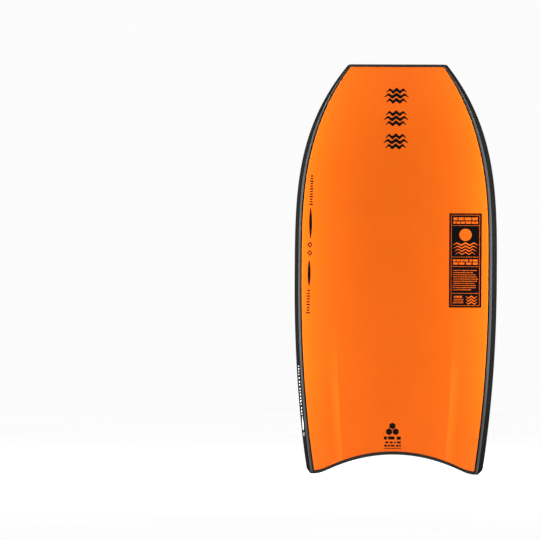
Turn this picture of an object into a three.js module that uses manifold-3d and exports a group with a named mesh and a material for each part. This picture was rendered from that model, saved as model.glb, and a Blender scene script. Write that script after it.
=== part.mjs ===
// A 42 inch foam bodyboard with a crescent tail, standing upright on its two tail points.
//
// Millimetres. +Z runs from tail to nose and X runs across the board. The deck, where the
// rider lies, faces -Y, and the slick, the bottom that planes on the water, faces +Y.
// Left and right are the rider's: left is -X.
//
// Depth is measured from the slick side: 0 is the flat of the slick, and it grows towards
// the deck. Inset is measured inwards from the outermost edge of the board.

import * as THREE from 'three';
import { mergeVertices } from 'three/addons/utils/BufferGeometryUtils.js';
import Module from 'manifold-3d';

const wasm = await Module();
wasm.setup();

// Plan outline
const LENGTH = 1068.5;        // nose height; the tail points stand 1.7 above zero, so it is 42 in
const WIDE_HEIGHT = 513;      // height of the widest point above the tail points
const HALF_WIDTH = 263.6;
const NOSE_HALF_WIDTH = 127.6;
const TAIL_HALF_WIDTH = 227.4;
const NOSE_TAPER = 3.32;      // exponents of the outline above and below the widest point
const TAIL_TAPER = 2.13;
const NOSE_CORNER = 4;        // corner radius, seen from the deck
const TAIL_CORNER_WIDTH = 13.5;
const TAIL_CORNER_HEIGHT = 17;
const TAIL_CORNER_POWER = 1.45; // 2 would round it as an ellipse does, and 1 cut it straight
const CRESCENT_DEPTH = 52;    // height of the middle of the tail above its points
const CRESCENT_RADIUS = 375;
const POINT_BLEND = 10;       // softens the crescent into the flat tail points

// Side view
const THICKNESS = 54;
const NOSE_THICKNESS = 36;
const NOSE_THINNING_START = 600;
const NOSE_THINNING_POWER = 1.8;
const TAIL_THICKNESS = 46;
const TAIL_THINNING_START = 300;
const TAIL_THINNING_POWER = 1.6;
const NOSE_LIFT = 45;         // rocker, which bends nose and tail towards the deck
const NOSE_LIFT_START = 700;
const NOSE_LIFT_POWER = 2.2;
const TAIL_LIFT = 6;
const TAIL_LIFT_START = 150;
const TAIL_LIFT_POWER = 2;

// Slick face
const SLICK_ROLL = 1.5;       // how far the face falls away beside the rails
const ROLL_START = 0.55;      // as a share of the half width
const CHANNEL_DEPTH = 5.5;
const CHANNEL_START = 430;    // the channels fade in below this height
const CHANNEL_FULL = 130;     // and are at full depth below this one
const CHANNEL_CREST = 0.63;   // the wall drops from here, as a share of the half width,
const CHANNEL_FOOT = 0.73;    // and levels out here
const CHANNEL_EDGE_LOSS = 0.35;

// Deck face
const DECK_ROLL = 2;
const DECK_ROLL_START = 0.6;

// Rails, nose strip and tail strip
const RAIL_WIDTH = 21;        // from the outermost edge to the core
const NOSE_RAIL_WIDTH = 12;   // the same on the slick side, at the nose
const RAIL_NARROWING_START = 850;
const RAIL_NARROWING_POWER = 1.6;
const DECK_INSET = 14.4;      // from the outermost edge to the edge of the deck skin
const APEX_SHARE = 0.6;       // 60/40 rail: height of the outermost edge above the slick
const SEAM_SHARE = 0.24;      // height of the seam between lower and upper rail
const CREASE_INSET = 10.5;
const APEX_ROUND_BELOW = 0.14; // where the rounding of the outermost edge begins and ends
const APEX_ROUND_ABOVE = 0.05;
const CHINE_BREAK_INSET = 11.5; // the chine facet gives way here to the softened deck edge
const CHINE_BREAK_DEPTH = 3.6;
const DECK_EDGE_DROP = 0.9;
const NOSE_STRIP_DEPTH = 20;
const NOSE_LIP = 6.5;         // from the nose to the edge of the slick
const TAIL_STRIP_DEPTH = 30;
const TAIL_LIP = 7.5;         // from the tail to the edge of the slick
const TAIL_BEVEL = 26;        // from the tail to the edge of the deck
const TAIL_BEVEL_POWER = 1.35;
const TAIL_EDGE_SHARE = 0.17; // height of the tail's outermost edge above the slick

// Layers
const GAP = 0.3;              // glue line between neighbouring pieces
const SLICK_SKIN = 1.2;
const SLICK_BACKING = 2;
const MESH_SHEET = 0.6;
const DECK_SKIN = 6;

// Stringer, a tube in a bore that is drilled from the tail
const STRINGER_RADIUS = 6;
const STRINGER_WALL = 1.4;
const STRINGER_BOTTOM = 98;
const STRINGER_LENGTH = 740;
const STRINGER_DEPTH = 25;
const CAP_FLANGE = 2;
const CAP_SPIGOT = 12;
const PLUG_BOTTOM = 83.4;

// How finely the shapes are cut into flat faces
const ROW_COUNT = 24;
const ROW_CROWDING = 1.25;    // above 1, rows are closer together towards the nose
const COLUMN_SHARES = [0, 0.3, ROLL_START, CHANNEL_CREST, 0.67, CHANNEL_FOOT, 1];
const TAIL_STEP = 12;
const FAR = 60;               // how far a cutting solid reaches past the board
const POCKET_OVERCUT = 1;     // and how far a pocket reaches past the block it is cut from
const ROUND_SEGMENTS = 20;

const rowHeights = Array.from(
  { length: ROW_COUNT + 1 },
  (_, row) => LENGTH * (1 - (1 - row / ROW_COUNT) ** ROW_CROWDING),
);
const columns = [...COLUMN_SHARES.slice(1).reverse().map((share) => -share), ...COLUMN_SHARES];

// 0 before start, 1 after end, and a power curve between them. End may be below start.
function ease(value, start, end, power) {
  return THREE.MathUtils.clamp((value - start) / (end - start), 0, 1) ** power;
}

// Replaces a curve over height by straight lines between the rows, so that neighbouring
// pieces follow each other exactly wherever they are cut.
function faceted(curve) {
  return (z) => {
    const above = rowHeights.findIndex((height) => height > z);
    const row = above < 0 ? ROW_COUNT : Math.max(above, 1);
    const low = rowHeights[row - 1];
    const high = rowHeights[row];
    const share = THREE.MathUtils.clamp((z - low) / (high - low), 0, 1);
    return THREE.MathUtils.lerp(curve(low), curve(high), share);
  };
}

const halfWidth = faceted((z) => {
  const noseLoss = (HALF_WIDTH - NOSE_HALF_WIDTH) * ease(z, WIDE_HEIGHT, LENGTH, NOSE_TAPER);
  const tailLoss = (HALF_WIDTH - TAIL_HALF_WIDTH) * ease(z, WIDE_HEIGHT, 0, TAIL_TAPER);
  return HALF_WIDTH - noseLoss - tailLoss;
});

const thickness = faceted((z) => {
  const noseShare = ease(z, NOSE_THINNING_START, LENGTH, NOSE_THINNING_POWER);
  const tailShare = ease(z, TAIL_THINNING_START, 0, TAIL_THINNING_POWER);
  return THICKNESS - (THICKNESS - NOSE_THICKNESS) * noseShare
    - (THICKNESS - TAIL_THICKNESS) * tailShare;
});

const lift = faceted((z) => {
  const noseLift = NOSE_LIFT * ease(z, NOSE_LIFT_START, LENGTH, NOSE_LIFT_POWER);
  const tailLift = TAIL_LIFT * ease(z, TAIL_LIFT_START, 0, TAIL_LIFT_POWER);
  return noseLift + tailLift;
});

const slickInset = faceted((z) => {
  const narrowing = ease(z, RAIL_NARROWING_START, LENGTH, RAIL_NARROWING_POWER);
  return THREE.MathUtils.lerp(RAIL_WIDTH, NOSE_RAIL_WIDTH, narrowing);
});

const channelDepth = faceted((z) => (
  CHANNEL_DEPTH * (1 - THREE.MathUtils.smoothstep(z, CHANNEL_FULL, CHANNEL_START))
));

// The tail line: an arc that runs out into flat points near the rails.
function tailHeight(x) {
  const arc = CRESCENT_DEPTH - CRESCENT_RADIUS + Math.sqrt(CRESCENT_RADIUS ** 2 - x * x);
  return (arc + Math.hypot(arc, POINT_BLEND)) / 2;
}

// Depth of the outer faces. Share runs from 0 on the centre line to 1 at the edge.
function slickFace(share, z) {
  const wall = 1 - ease(Math.abs(share), CHANNEL_FOOT, CHANNEL_CREST, 2);
  const fade = 1 - CHANNEL_EDGE_LOSS * ease(Math.abs(share), CHANNEL_FOOT, 1, 1);
  return SLICK_ROLL * ease(Math.abs(share), ROLL_START, 1, 2) + channelDepth(z) * wall * fade;
}

function deckFace(share, z) {
  return thickness(z) - DECK_ROLL * ease(Math.abs(share), DECK_ROLL_START, 1, 2);
}

// Inset of the wall between core and rail, which leans where the rail narrows.
function wallInset(z, depth) {
  return THREE.MathUtils.lerp(slickInset(z), RAIL_WIDTH, depth / thickness(z));
}

function boardPoint(x, z, depth) {
  return new THREE.Vector3(x, -lift(z) - depth, z);
}

// Joins rings of equally many points into one closed body. Caps holds the triangles of an end.
// The two halves of a ring are cut along mirrored diagonals, so that stacked layers whose rings
// run across and back stay parallel to each other.
function loft(rings, caps) {
  const count = rings[0].length;
  const faces = [];
  for (let ring = 0; ring + 1 < rings.length; ring += 1) {
    for (let point = 0; point < count; point += 1) {
      const here = ring * count + point;
      const beside = ring * count + (point + 1) % count;
      if (point < count / 2) {
        faces.push([here, beside, beside + count], [here, beside + count, here + count]);
      } else {
        faces.push([here, beside, here + count], [beside, beside + count, here + count]);
      }
    }
  }
  const last = (rings.length - 1) * count;
  for (const [a, b, c] of caps) {
    faces.push([c, b, a], [last + a, last + b, last + c]);
  }
  const points = rings.flat();
  const volume = faces.reduce((sum, [a, b, c]) => {
    const normal = new THREE.Vector3().crossVectors(points[b], points[c]);
    return sum + points[a].dot(normal);
  }, 0);
  const outward = volume > 0 ? faces : faces.map(([a, b, c]) => [a, c, b]);
  const geometry = new THREE.BufferGeometry().setFromPoints(points);
  geometry.setIndex(outward.flat());
  return geometry;
}

// Joins rings whose ends are closed by triangulating a flat outline, one point per ring point.
function sweep(rings, outline) {
  if (THREE.ShapeUtils.isClockWise(outline)) {
    return sweep(rings.map((ring) => ring.toReversed()), outline.toReversed());
  }
  return solidOf(loft(rings, THREE.ShapeUtils.triangulateShape(outline, [])));
}

// Caps for a ring whose first half runs across and whose second half runs back above it.
function stripCaps(count) {
  const caps = [];
  for (let point = 0; point < count / 2 - 1; point += 1) {
    const opposite = count - 1 - point;
    caps.push([point, point + 1, opposite - 1], [point, opposite - 1, opposite]);
  }
  return caps;
}

// A sheet or block between two depths, over the whole length up to the given height.
function layer(lowDepth, highDepth, inset, top = LENGTH) {
  const heights = [...rowHeights.filter((height) => height < top - GAP), top];
  const rings = heights.map((z) => {
    const edge = (share, depth) => boardPoint(share * (halfWidth(z) - inset(z, depth)), z, depth);
    const low = columns.map((share) => edge(share, lowDepth(share, z)));
    const high = columns.map((share) => edge(share, highDepth(share, z)));
    return [...low, ...high.reverse()];
  });
  return solidOf(loft(rings, stripCaps(2 * columns.length)));
}

function solidOf(geometry) {
  const bare = geometry.clone();
  bare.deleteAttribute('normal');
  bare.deleteAttribute('uv');
  const merged = mergeVertices(bare);
  const vertProperties = new Float32Array(merged.attributes.position.array);
  const triVerts = new Uint32Array(merged.index.array);
  return new wasm.Manifold(new wasm.Mesh({ numProp: 3, vertProperties, triVerts }));
}

function geometryOf(solid) {
  const { numProp, vertProperties, triVerts } = solid.getMesh();
  const positions = new Float32Array(vertProperties.length / numProp * 3);
  for (let vertex = 0; vertex < vertProperties.length / numProp; vertex += 1) {
    positions.set(vertProperties.subarray(vertex * numProp, vertex * numProp + 3), vertex * 3);
  }
  const geometry = new THREE.BufferGeometry();
  geometry.setAttribute('position', new THREE.BufferAttribute(positions, 3));
  geometry.setIndex(new THREE.BufferAttribute(triVerts, 1));
  return geometry;
}

// A cutting solid that follows the tail line. Section gives [height above the line, depth]
// pairs for a place across the board.
function alongTail(section) {
  const reach = HALF_WIDTH + FAR / 2;
  const steps = Math.ceil((2 * reach) / TAIL_STEP);
  const stations = Array.from({ length: steps + 1 }, (_, step) => reach * (2 * step / steps - 1));
  const rings = stations.map((x) => (
    section(x).map(([above, depth]) => boardPoint(x, tailHeight(x) + above, depth))
  ));
  const outline = section(0).map(([above, depth]) => new THREE.Vector2(above, depth));
  return sweep(rings, outline);
}

// Everything closer to the tail line than the given distance.
function tailZone(distance) {
  return alongTail(() => [
    [-FAR, -FAR],
    [distance, -FAR],
    [distance, THICKNESS + FAR],
    [-FAR, THICKNESS + FAR],
  ]);
}

// Everything outside the finished tail: its rounded lower edge and its bevel up to the deck.
function outsideTail() {
  const underSteps = [0, 1, 2, 3];
  const bevelSteps = [1, 2, 3, 4];
  return alongTail((x) => {
    const line = tailHeight(x);
    const share = Math.min(1, Math.abs(x) / (halfWidth(line) - slickInset(line)));
    const face = slickFace(share, line);
    const edge = TAIL_EDGE_SHARE * thickness(line);
    const under = underSteps.map((step) => {
      const angle = (step / 3) * (Math.PI / 2);
      const above = TAIL_LIP * (1 - Math.sin(angle));
      return [above, THREE.MathUtils.lerp(face, edge, 1 - Math.cos(angle))];
    });
    const bevel = bevelSteps.map((step) => {
      const above = TAIL_BEVEL * (step / 4) ** TAIL_BEVEL_POWER;
      return [above, THREE.MathUtils.lerp(edge, thickness(line + above), step / 4)];
    });
    return [
      [-FAR, -FAR],
      [TAIL_LIP, -FAR],
      ...under,
      ...bevel,
      [TAIL_BEVEL, THICKNESS + FAR],
      [-FAR, THICKNESS + FAR],
    ];
  });
}

// How much the corners take off the edge at a height.
function cornerLoss(z) {
  const intoTail = ease(z, TAIL_CORNER_HEIGHT, 0, TAIL_CORNER_POWER);
  const intoNose = ease(z, LENGTH - NOSE_CORNER, LENGTH, 2);
  return TAIL_CORNER_WIDTH * (1 - (1 - intoTail) ** (1 / TAIL_CORNER_POWER))
    + NOSE_CORNER * (1 - Math.sqrt(1 - intoNose));
}

// A rail of the given [inset, depth] section, swept along one side.
function rail(side, section) {
  const arcSteps = [0, 30, 60, 90].map((angle) => 1 - Math.cos(THREE.MathUtils.degToRad(angle)));
  const heights = [
    ...arcSteps.map((step) => TAIL_CORNER_HEIGHT * step),
    ...rowHeights.filter((z) => z > TAIL_CORNER_HEIGHT && z < LENGTH - NOSE_CORNER),
    ...arcSteps.map((step) => LENGTH - NOSE_CORNER * step).reverse(),
  ];
  const rings = heights.map((z) => section(z).map(([inset, depth]) => {
    const innermost = Math.min(DECK_INSET, slickInset(z)) - GAP;
    const outerShare = Math.max(0, 1 - inset / innermost);
    return boardPoint(side * (halfWidth(z) - inset - cornerLoss(z) * outerShare), z, depth);
  }));
  const outline = section(WIDE_HEIGHT).map(([inset, depth]) => new THREE.Vector2(inset, depth));
  return sweep(rings, outline);
}

function innerWall(z, depth) {
  return [wallInset(z, depth) - GAP, depth];
}

// The crease that the seam follows, drawn in with the rail where it narrows.
function creaseInset(z) {
  return CREASE_INSET * slickInset(z) / RAIL_WIDTH;
}

function lowerRailSection(z) {
  const seam = SEAM_SHARE * thickness(z) - GAP;
  const bottom = slickFace(1, z) + GAP;
  return [
    innerWall(z, bottom),
    [creaseInset(z) + GAP, seam],
    innerWall(z, seam),
  ];
}

function upperRailSection(z) {
  const full = thickness(z);
  const deckEdge = deckFace(1, z);
  const ledge = deckEdge - DECK_SKIN - GAP;
  return [
    innerWall(z, SEAM_SHARE * full),
    [creaseInset(z), SEAM_SHARE * full],
    [creaseInset(z) / 3, (APEX_SHARE - APEX_ROUND_BELOW) * full],
    [0.6, (APEX_SHARE - APEX_ROUND_BELOW / 3) * full],
    [0, APEX_SHARE * full],
    [0.9, (APEX_SHARE + APEX_ROUND_ABOVE) * full],
    [CHINE_BREAK_INSET, deckEdge - CHINE_BREAK_DEPTH],
    [DECK_INSET - GAP, deckEdge - DECK_EDGE_DROP],
    [DECK_INSET - GAP, ledge],
    innerWall(z, ledge),
  ];
}

const offset = (face, distance) => (share, z) => face(share, z) + distance;
const coreWall = (z, depth) => wallInset(z, depth);
const pocketWall = (z, depth) => wallInset(z, depth) - POCKET_OVERCUT;
const outside = (distance) => () => distance;

const slickBackingStart = SLICK_SKIN + GAP;
const slickMeshStart = slickBackingStart + SLICK_BACKING + GAP;
const coreStart = slickMeshStart + MESH_SHEET + GAP;
const deckMeshEnd = -DECK_SKIN - GAP;
const coreEnd = deckMeshEnd - MESH_SHEET - GAP;
const noseWall = LENGTH - NOSE_STRIP_DEPTH - GAP;
const coreTailZone = tailZone(TAIL_STRIP_DEPTH + GAP);

function cylinderSolid(radius, bottom, top) {
  const geometry = new THREE.CylinderGeometry(radius, radius, top - bottom, ROUND_SEGMENTS);
  geometry.rotateX(Math.PI / 2);
  geometry.translate(0, -STRINGER_DEPTH, (bottom + top) / 2);
  return solidOf(geometry);
}

function core() {
  const block = layer(offset(slickFace, coreStart), offset(deckFace, coreEnd), coreWall, noseWall);
  const boreTop = STRINGER_BOTTOM + STRINGER_LENGTH + CAP_FLANGE + 3 * GAP;
  return block.subtract(coreTailZone).subtract(cylinderSolid(STRINGER_RADIUS + GAP, 0, boreTop));
}

// A thin layer that covers the core and stops at the strips and rails.
function coreSheet(face, start, end) {
  return layer(offset(face, start), offset(face, end), coreWall, noseWall).subtract(coreTailZone);
}

function slickSkin() {
  const sheet = layer(slickFace, offset(slickFace, SLICK_SKIN), coreWall, LENGTH - NOSE_LIP);
  return sheet.subtract(tailZone(TAIL_LIP));
}

function deckSkin() {
  const sheet = layer(offset(deckFace, -DECK_SKIN), deckFace, outside(DECK_INSET));
  return sheet.subtract(tailZone(TAIL_BEVEL));
}

// The block that both strips are shaped from, with a pocket for the slick skin.
function stripBlock(highDepth, lipZone) {
  const block = layer(slickFace, highDepth, coreWall);
  const pocket = layer(offset(slickFace, -FAR), offset(slickFace, slickBackingStart), pocketWall);
  return block.subtract(pocket.subtract(lipZone));
}

function noseZone(depth) {
  const geometry = new THREE.BoxGeometry(4 * HALF_WIDTH, 4 * (THICKNESS + FAR), 2 * depth);
  geometry.translate(0, 0, LENGTH);
  return solidOf(geometry);
}

function noseStrip() {
  const block = stripBlock(offset(deckFace, -DECK_SKIN - GAP), noseZone(NOSE_LIP - GAP));
  return block.intersect(noseZone(NOSE_STRIP_DEPTH));
}

function tailStrip() {
  const block = stripBlock(deckFace, tailZone(TAIL_LIP - GAP));
  const deckPocket = layer(offset(deckFace, deckMeshEnd), offset(deckFace, FAR), pocketWall);
  return block
    .intersect(tailZone(TAIL_STRIP_DEPTH))
    .subtract(deckPocket.subtract(tailZone(TAIL_BEVEL - GAP)))
    .subtract(outsideTail());
}

const materials = {
  core: { color: 0xf2f2ee, roughness: 0.85, metalness: 0 },
  deckFoam: { color: 0x161616, roughness: 0.9, metalness: 0 },
  railFoam: { color: 0x3a3a3d, roughness: 0.8, metalness: 0 },
  lowerRailFoam: { color: 0x4d4d52, roughness: 0.8, metalness: 0 },
  slick: { color: 0xff7a1a, roughness: 0.35, metalness: 0 },
  backing: { color: 0x26262a, roughness: 0.85, metalness: 0 },
  mesh: { color: 0xd8d8d2, roughness: 0.6, metalness: 0 },
  composite: { color: 0x111214, roughness: 0.35, metalness: 0 },
  cap: { color: 0x2b2b2e, roughness: 0.5, metalness: 0 },
};

const board = new THREE.Group();

function add(name, geometry, look) {
  const mesh = new THREE.Mesh(geometry, new THREE.MeshStandardMaterial(materials[look]));
  mesh.name = name;
  board.add(mesh);
  return mesh;
}

function addSolid(name, solid, look) {
  return add(name, geometryOf(solid), look);
}

// A turned piece of the stringer, whose profile of [radius, height] pairs starts at its foot.
function addTurned(name, profile, bottom, look) {
  const points = profile.map(([radius, height]) => new THREE.Vector2(radius, height));
  const mesh = add(name, new THREE.LatheGeometry(points, ROUND_SEGMENTS), look);
  mesh.rotation.x = Math.PI / 2;
  mesh.position.set(0, -STRINGER_DEPTH, bottom);
  return mesh;
}

function addStringer() {
  const bore = STRINGER_RADIUS - STRINGER_WALL;
  const tubeTop = STRINGER_BOTTOM + STRINGER_LENGTH;
  addTurned('stringer_tube', [
    [bore, 0],
    [STRINGER_RADIUS, 0],
    [STRINGER_RADIUS, STRINGER_LENGTH],
    [bore, STRINGER_LENGTH],
    [bore, 0],
  ], STRINGER_BOTTOM, 'composite');

  const capProfile = [
    [0, 0],
    [STRINGER_RADIUS, 0],
    [STRINGER_RADIUS, CAP_FLANGE],
    [bore - GAP, CAP_FLANGE],
    [bore - GAP, CAP_FLANGE + CAP_SPIGOT],
    [0, CAP_FLANGE + CAP_SPIGOT],
  ];
  addTurned('stringer_cap_tail', capProfile, STRINGER_BOTTOM - CAP_FLANGE - GAP, 'cap');
  const noseCap = addTurned('stringer_cap_nose', capProfile, tubeTop + CAP_FLANGE + GAP, 'cap');
  noseCap.rotation.x = -Math.PI / 2;

  const plugLength = STRINGER_BOTTOM - CAP_FLANGE - 2 * GAP - PLUG_BOTTOM;
  addTurned('stringer_plug', [
    [0, 0],
    [STRINGER_RADIUS, 0],
    [STRINGER_RADIUS, plugLength],
    [0, plugLength],
  ], PLUG_BOTTOM, 'core');
}

function addRails() {
  const outsideOfTail = outsideTail();
  for (const [name, side] of [['left', -1], ['right', 1]]) {
    const upper = rail(side, upperRailSection).subtract(outsideOfTail);
    addSolid(`upper_rail_${name}`, upper, 'railFoam');
    const lower = rail(side, lowerRailSection).subtract(outsideOfTail);
    addSolid(`lower_rail_${name}`, lower, 'lowerRailFoam');
  }
}

// Moves the board so that its box is centred on the Z axis and stands on Z = 0.
function standOnOrigin() {
  const box = new THREE.Box3().setFromObject(board);
  board.position.set(0, -(box.min.y + box.max.y) / 2, -box.min.z);
}

addSolid('core', core(), 'core');
addStringer();
addSolid('slick_skin', slickSkin(), 'slick');
const backingEnd = slickBackingStart + SLICK_BACKING;
addSolid('slick_backing', coreSheet(slickFace, slickBackingStart, backingEnd), 'backing');
const slickMeshEnd = slickMeshStart + MESH_SHEET;
addSolid('slick_mesh', coreSheet(slickFace, slickMeshStart, slickMeshEnd), 'mesh');
addSolid('deck_mesh', coreSheet(deckFace, deckMeshEnd - MESH_SHEET, deckMeshEnd), 'mesh');
addSolid('deck_skin', deckSkin(), 'deckFoam');
addRails();
addSolid('nose_strip', noseStrip(), 'railFoam');
addSolid('tail_strip', tailStrip(), 'railFoam');
standOnOrigin();

export default board;
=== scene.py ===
"""A 42 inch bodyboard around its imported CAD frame, standing upright with its slick to the camera.

Shapes are worked out in the drawing's millimetres, with the same curves as the CAD model, and
place() turns them into metres in the row frame. Depth is measured from the flat of the slick
towards the deck, and an inset is measured inwards from the outermost edge of the board.
"""

import math

import bmesh
import bpy
import numpy as np
from mathutils import Euler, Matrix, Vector


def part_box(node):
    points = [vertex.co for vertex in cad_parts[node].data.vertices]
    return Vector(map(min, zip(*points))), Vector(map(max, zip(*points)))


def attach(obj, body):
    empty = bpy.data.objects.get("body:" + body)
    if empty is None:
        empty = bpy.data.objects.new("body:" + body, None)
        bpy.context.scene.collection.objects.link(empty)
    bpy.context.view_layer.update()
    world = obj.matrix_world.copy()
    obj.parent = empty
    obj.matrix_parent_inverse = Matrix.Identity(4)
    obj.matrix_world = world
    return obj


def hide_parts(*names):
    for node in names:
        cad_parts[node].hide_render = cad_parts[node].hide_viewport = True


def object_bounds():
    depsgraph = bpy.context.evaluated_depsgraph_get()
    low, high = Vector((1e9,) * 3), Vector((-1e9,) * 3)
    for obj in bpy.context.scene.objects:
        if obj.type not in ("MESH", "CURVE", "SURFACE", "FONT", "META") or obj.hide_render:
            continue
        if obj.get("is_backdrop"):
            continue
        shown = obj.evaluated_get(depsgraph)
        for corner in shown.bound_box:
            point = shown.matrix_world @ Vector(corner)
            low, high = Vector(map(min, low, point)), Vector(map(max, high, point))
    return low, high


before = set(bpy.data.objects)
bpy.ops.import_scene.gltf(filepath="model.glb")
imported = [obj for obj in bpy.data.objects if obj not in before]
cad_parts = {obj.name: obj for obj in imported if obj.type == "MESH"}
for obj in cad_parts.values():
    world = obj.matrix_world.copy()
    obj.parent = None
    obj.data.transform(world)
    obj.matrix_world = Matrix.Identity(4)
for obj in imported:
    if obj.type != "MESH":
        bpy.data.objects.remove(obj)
cad_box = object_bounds()

# Plan outline, millimetres
LENGTH = 1068.5
WIDE_HEIGHT = 513
HALF_WIDTH = 263.6
NOSE_HALF_WIDTH = 127.6
TAIL_HALF_WIDTH = 227.4
NOSE_TAPER = 3.32
TAIL_TAPER = 2.13
NOSE_CORNER = 4
TAIL_CORNER_WIDTH = 13.5
TAIL_CORNER_HEIGHT = 17
TAIL_CORNER_POWER = 1.45
CRESCENT_DEPTH = 52
CRESCENT_RADIUS = 375
POINT_BLEND = 10

# Side view
THICKNESS = 54
NOSE_THICKNESS = 36
TAIL_THICKNESS = 46
NOSE_THINNING_START = 600
NOSE_THINNING_POWER = 1.8
TAIL_THINNING_START = 300
TAIL_THINNING_POWER = 1.6
NOSE_LIFT = 45
NOSE_LIFT_START = 700
NOSE_LIFT_POWER = 2.2
TAIL_LIFT = 6
TAIL_LIFT_START = 150
TAIL_LIFT_POWER = 2

# Faces
SLICK_ROLL = 1.5
ROLL_START = 0.55
CHANNEL_DEPTH = 5.5
CHANNEL_START = 430
CHANNEL_FULL = 130
CHANNEL_CREST = 0.63
CHANNEL_FOOT = 0.73
CHANNEL_EDGE_LOSS = 0.35
DECK_ROLL = 2
DECK_ROLL_START = 0.6

# Rails and strips
RAIL_WIDTH = 21
NOSE_RAIL_WIDTH = 12
RAIL_NARROWING_START = 850
RAIL_NARROWING_POWER = 1.6
RAIL_X = 220                  # about how far out the rails meet the tail
DECK_INSET = 14.4
APEX_SHARE = 0.6              # shares of the thickness, from the slick
SEAM_SHARE = 0.24
CREASE_INSET = 10.5
APEX_REACH = 2                # the control point of the outermost round lies this far out
FACET_SHARE = 0.72            # the flat part of the facet between the seam and that point
CHINE_SHARE = 0.33            # the rounded part of the run from that point to the deck
FACET_BULGE = np.array([-0.35, -0.2])     # inset and depth that bow the facet outwards
NOSE_STRIP_DEPTH = 20
NOSE_LIP = 7.1
NOSE_DECK_ROUND = 2.5
TAIL_STRIP_DEPTH = 30
TAIL_LIP = 8.6
TAIL_BEVEL = 26
TAIL_BEVEL_POWER = 1.35
TAIL_EDGE_SHARE = 0.17
TAIL_SHOULDER = 23.5          # the tail's bevel meets the level of the deck here
SHOULDER_SOFTNESS = 3.2
EDGE_SOFTNESS = 0.4
SEAM_WIDTH = 3.2              # the groove between the slick and its rail, coloured dark as painted shade
STRIP_OVERLAP = 0.8           # the strips are pressed into the rails and let no light through

# Layers
GAP = 0.3
SLICK_SKIN = 1.2
DECK_SKIN = 6

# Fineness of the meshes
LENGTHWISE_STEP = 1 / 260     # of the skins' length
SETTLING_ROUNDS = 8           # for places and heights that depend on each other
RAIL_SETTLING_ROUNDS = 6

MM = 0.001
MERGE_DISTANCE = 1e-7         # metres
SLICK_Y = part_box("slick_skin")[1].y / MM
FOOT = cad_box[1].z / MM - LENGTH


def ease(value, start, end, power):
    """0 before start, 1 after end, and a power curve between them."""
    return np.clip((value - start) / (end - start), 0, 1) ** power


def smooth_ease(value, start, end):
    share = np.clip((value - start) / (end - start), 0, 1)
    return share * share * (3 - 2 * share)


def soft_min(a, b, softness):
    overlap = np.maximum(softness - np.abs(a - b), 0)
    return np.minimum(a, b) - overlap**2 / (4 * softness)


def half_width(z):
    nose_loss = (HALF_WIDTH - NOSE_HALF_WIDTH) * ease(z, WIDE_HEIGHT, LENGTH, NOSE_TAPER)
    tail_loss = (HALF_WIDTH - TAIL_HALF_WIDTH) * ease(z, WIDE_HEIGHT, 0, TAIL_TAPER)
    return HALF_WIDTH - nose_loss - tail_loss


def thickness(z):
    to_nose = ease(z, NOSE_THINNING_START, LENGTH, NOSE_THINNING_POWER)
    to_tail = ease(z, TAIL_THINNING_START, 0, TAIL_THINNING_POWER)
    nose_loss = (THICKNESS - NOSE_THICKNESS) * to_nose
    tail_loss = (THICKNESS - TAIL_THICKNESS) * to_tail
    return THICKNESS - nose_loss - tail_loss


def lift(z):
    nose_lift = NOSE_LIFT * ease(z, NOSE_LIFT_START, LENGTH, NOSE_LIFT_POWER)
    return nose_lift + TAIL_LIFT * ease(z, TAIL_LIFT_START, 0, TAIL_LIFT_POWER)


def slick_inset(z):
    narrowing = ease(z, RAIL_NARROWING_START, LENGTH, RAIL_NARROWING_POWER)
    return RAIL_WIDTH + (NOSE_RAIL_WIDTH - RAIL_WIDTH) * narrowing


def wall_inset(z, depth):
    """Inset of the wall between core and rail, which leans where the rail narrows."""
    slick_side = slick_inset(z)
    return slick_side + (RAIL_WIDTH - slick_side) * depth / thickness(z)


def crease_inset(z):
    return CREASE_INSET * slick_inset(z) / RAIL_WIDTH


def tail_height(x):
    arc = CRESCENT_DEPTH - CRESCENT_RADIUS + np.sqrt(np.maximum(CRESCENT_RADIUS**2 - x * x, 0))
    return (arc + np.hypot(arc, POINT_BLEND)) / 2


def slick_face(share, z):
    share = np.abs(share)
    wall = 1 - ease(share, CHANNEL_FOOT, CHANNEL_CREST, 2)
    fade = 1 - CHANNEL_EDGE_LOSS * ease(share, CHANNEL_FOOT, 1, 1)
    depth = CHANNEL_DEPTH * smooth_ease(z, CHANNEL_START, CHANNEL_FULL)
    return SLICK_ROLL * ease(share, ROLL_START, 1, 2) + depth * wall * fade


def deck_face(share, z):
    return thickness(z) - DECK_ROLL * ease(np.abs(share), DECK_ROLL_START, 1, 2)


def slick_at(x, z):
    """Depth of the slick face at a place, carried on level past its edges."""
    return slick_face(np.minimum(np.abs(x) / (half_width(z) - slick_inset(z)), 1), z)


def deck_at(x, z):
    return deck_face(np.minimum(np.abs(x) / (half_width(z) - DECK_INSET), 1), z)


def tail_under(above, x, z):
    """Depth of the tail's rounded lower edge at a distance above the tail line."""
    face = slick_at(x, z)
    edge = TAIL_EDGE_SHARE * thickness(z)
    across = 1 - np.clip(above / TAIL_LIP, 0, 1)
    return face + (edge - face) * (1 - np.sqrt(1 - across**2))


def tail_bevel(above, z):
    edge = TAIL_EDGE_SHARE * thickness(z)
    share = np.maximum(above / TAIL_SHOULDER, 0) ** (1 / TAIL_BEVEL_POWER)
    return edge + (thickness(z) - edge) * share


def round_in(distance, radius):
    """How far a quarter round has still to rise at a distance from its edge."""
    left = 1 - np.clip(distance / radius, 0, 1)
    return radius * (1 - np.sqrt(1 - left**2))


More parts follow.
